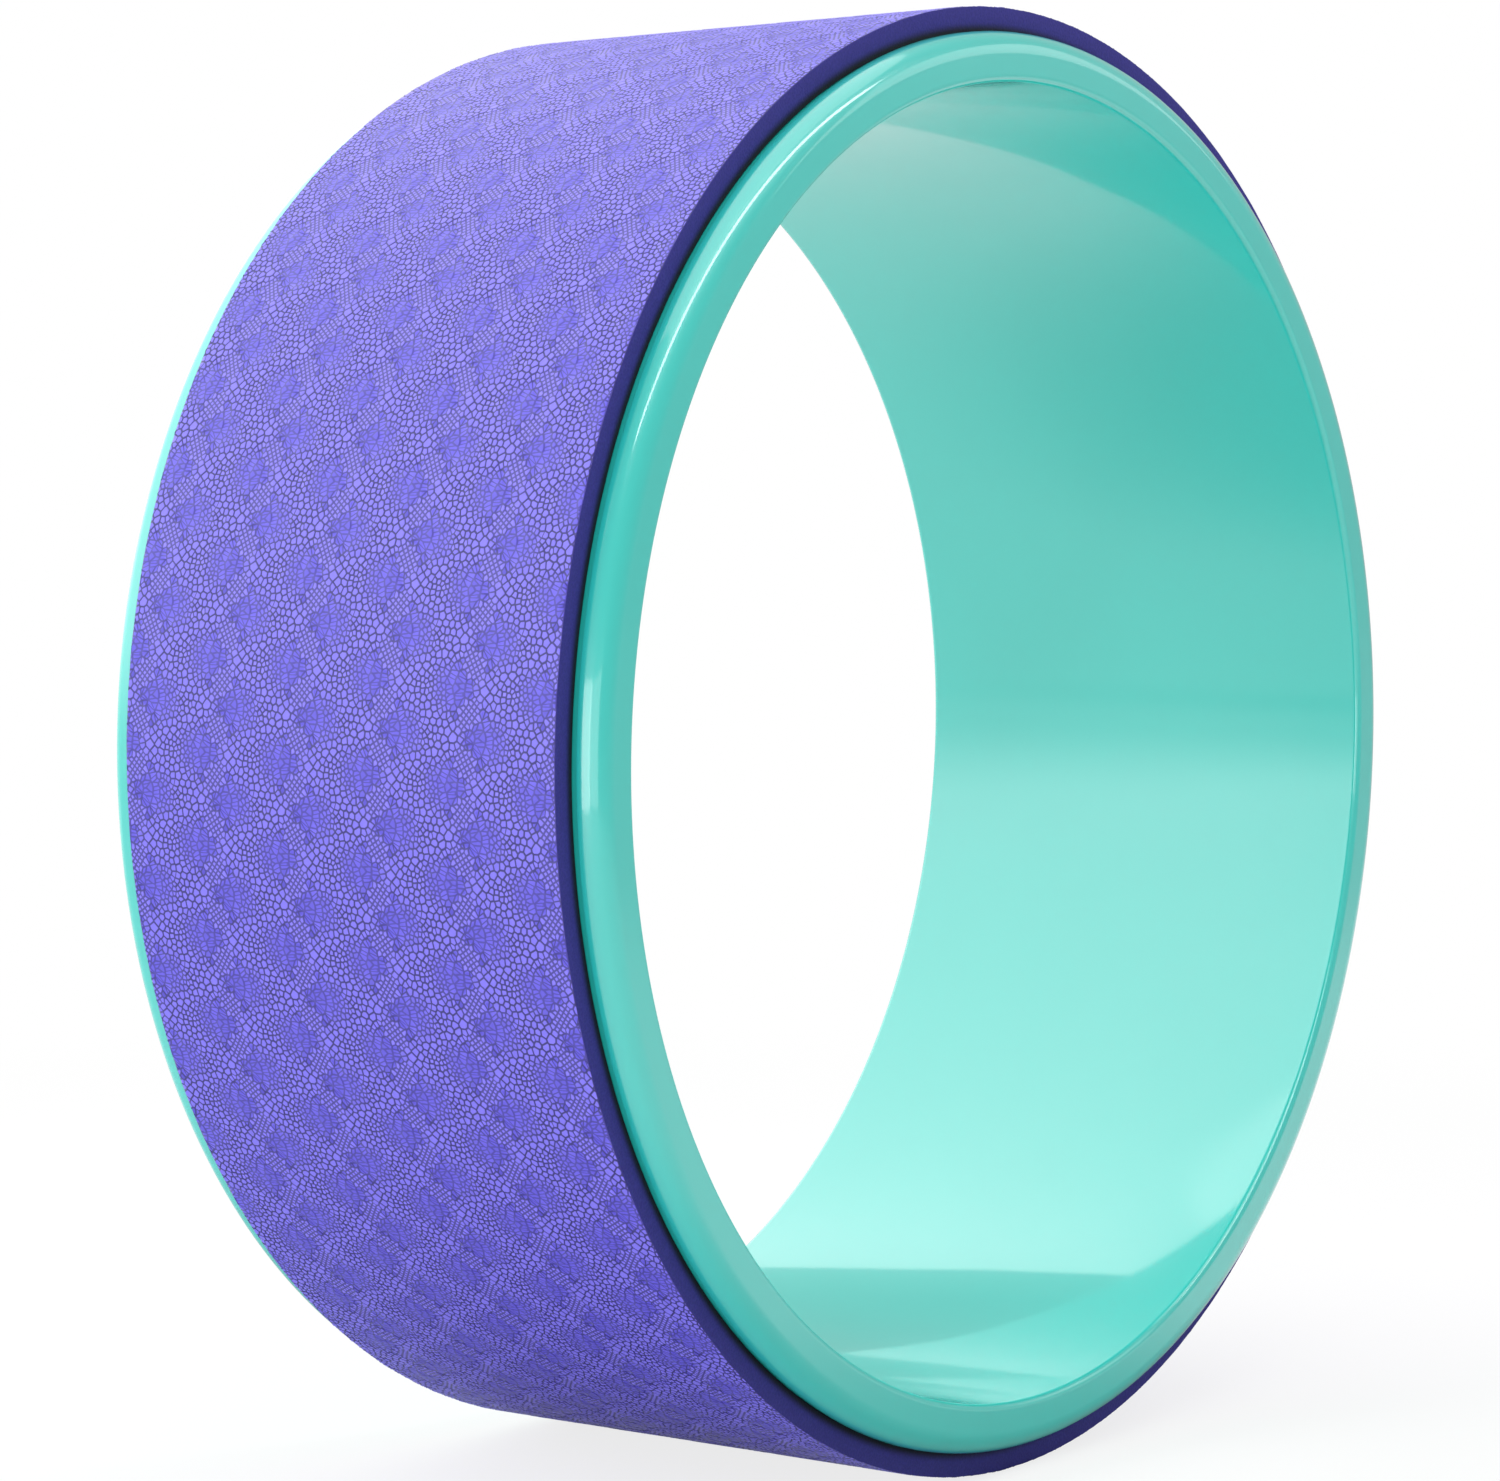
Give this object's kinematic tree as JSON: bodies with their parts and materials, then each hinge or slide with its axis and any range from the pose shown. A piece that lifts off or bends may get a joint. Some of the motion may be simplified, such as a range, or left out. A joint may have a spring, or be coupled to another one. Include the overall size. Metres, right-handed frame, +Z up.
{
  "type": "yoga wheel",
  "caption": "Hollow plastic hoop with rounded rims and an embossed foam pad wrapped round it, for rolling under the back in stretches.",
  "frame": {"origin": "centre of the wheel, on its axis and halfway between the rims", "axes": "+Y along the wheel's axis towards the back rim, -Y out of the front rim, +Z up as it stands on its tread, pad seam at +X"},
  "size_m": [0.33, 0.13, 0.33],
  "materials": {
    "hoop_plastic": "glossy moulded plastic, mint green",
    "joint_glue": "cured clear glue",
    "pad_adhesive": "clear contact adhesive film",
    "pad_foam": "cut closed-cell foam, dark indigo",
    "pad_skin": "matt embossed foam skin, violet blue",
    "pad_seam_glue": "flexible glue in the pad's butt joint"
  },
  "bodies": {
    "root": {"inner_shell": "hoop_plastic", "outer_shell": "hoop_plastic", "front_joint_glue": "joint_glue", "back_joint_glue": "joint_glue", "pad_adhesive": "pad_adhesive", "pad_foam": "pad_foam", "pad_skin": "pad_skin", "pad_seam_glue": "pad_seam_glue"}
  },
  "joints": []
}
